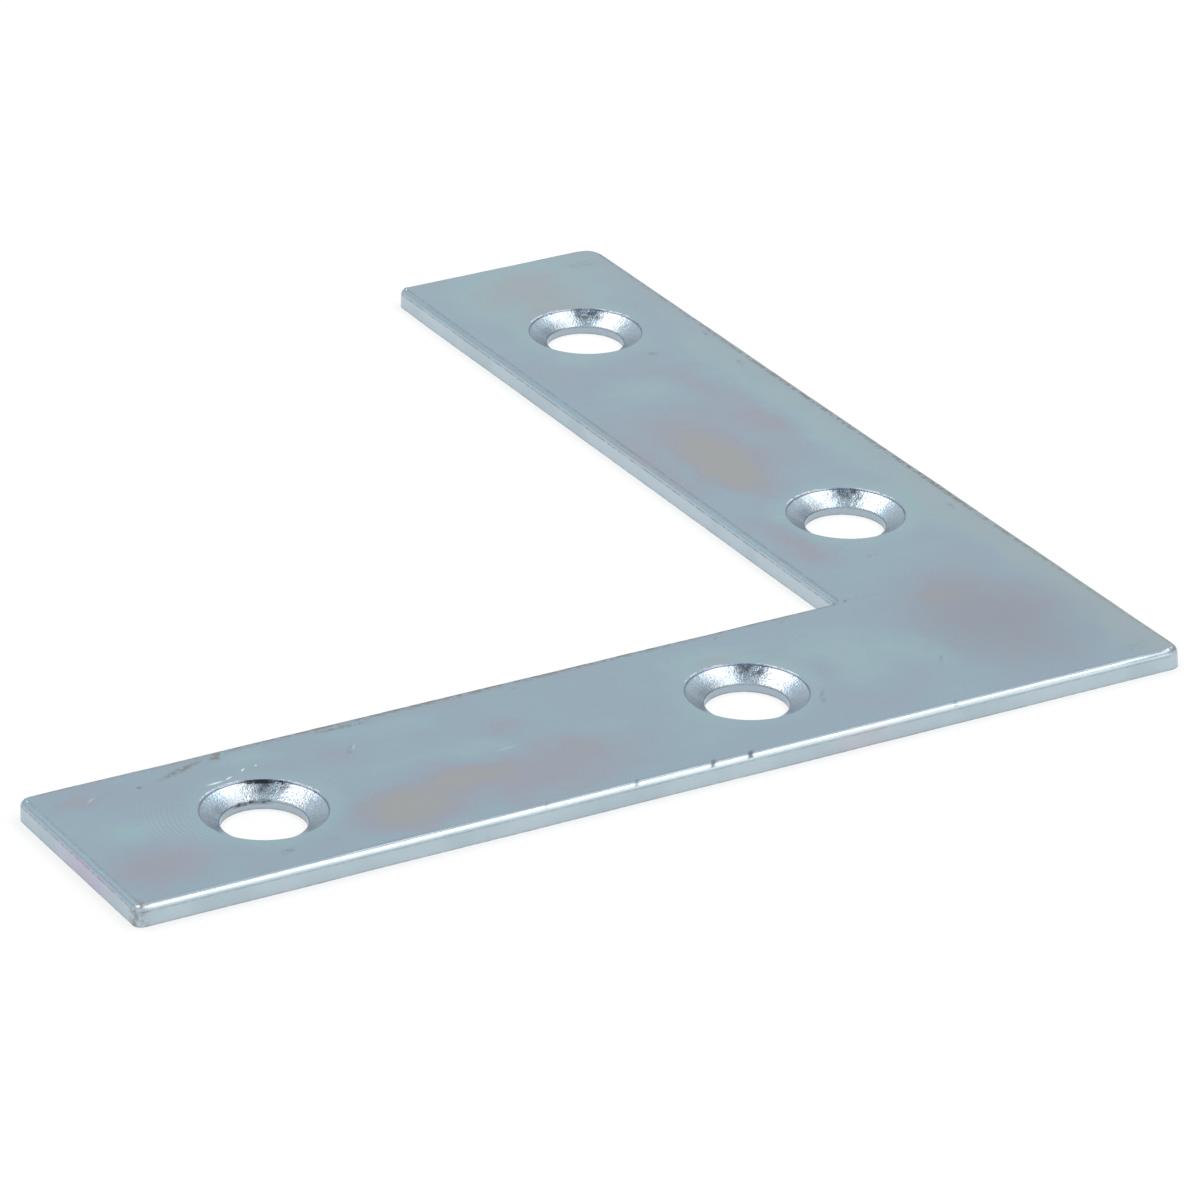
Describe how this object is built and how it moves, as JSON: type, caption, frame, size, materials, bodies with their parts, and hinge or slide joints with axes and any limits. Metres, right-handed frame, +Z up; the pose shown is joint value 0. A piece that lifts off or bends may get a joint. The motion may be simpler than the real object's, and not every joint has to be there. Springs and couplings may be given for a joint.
{
  "type": "flat corner brace",
  "caption": "Flat L-shaped metal plate with countersunk screw holes along both arms, which ties a frame's corner from one face.",
  "frame": {"origin": "centre of the square that the two arms span, on the underside", "axes": "+Z is up, out of the countersunk face; the outer corner is at +X -Y, with one arm running from it towards -X and the other towards +Y"},
  "size_m": [0.1, 0.1, 0.0019],
  "materials": {
    "zinc_plate": "bright zinc plate with a faint blue and straw passivation bloom, satin"
  },
  "bodies": {
    "root": {"corner_brace": "zinc_plate"}
  },
  "joints": []
}
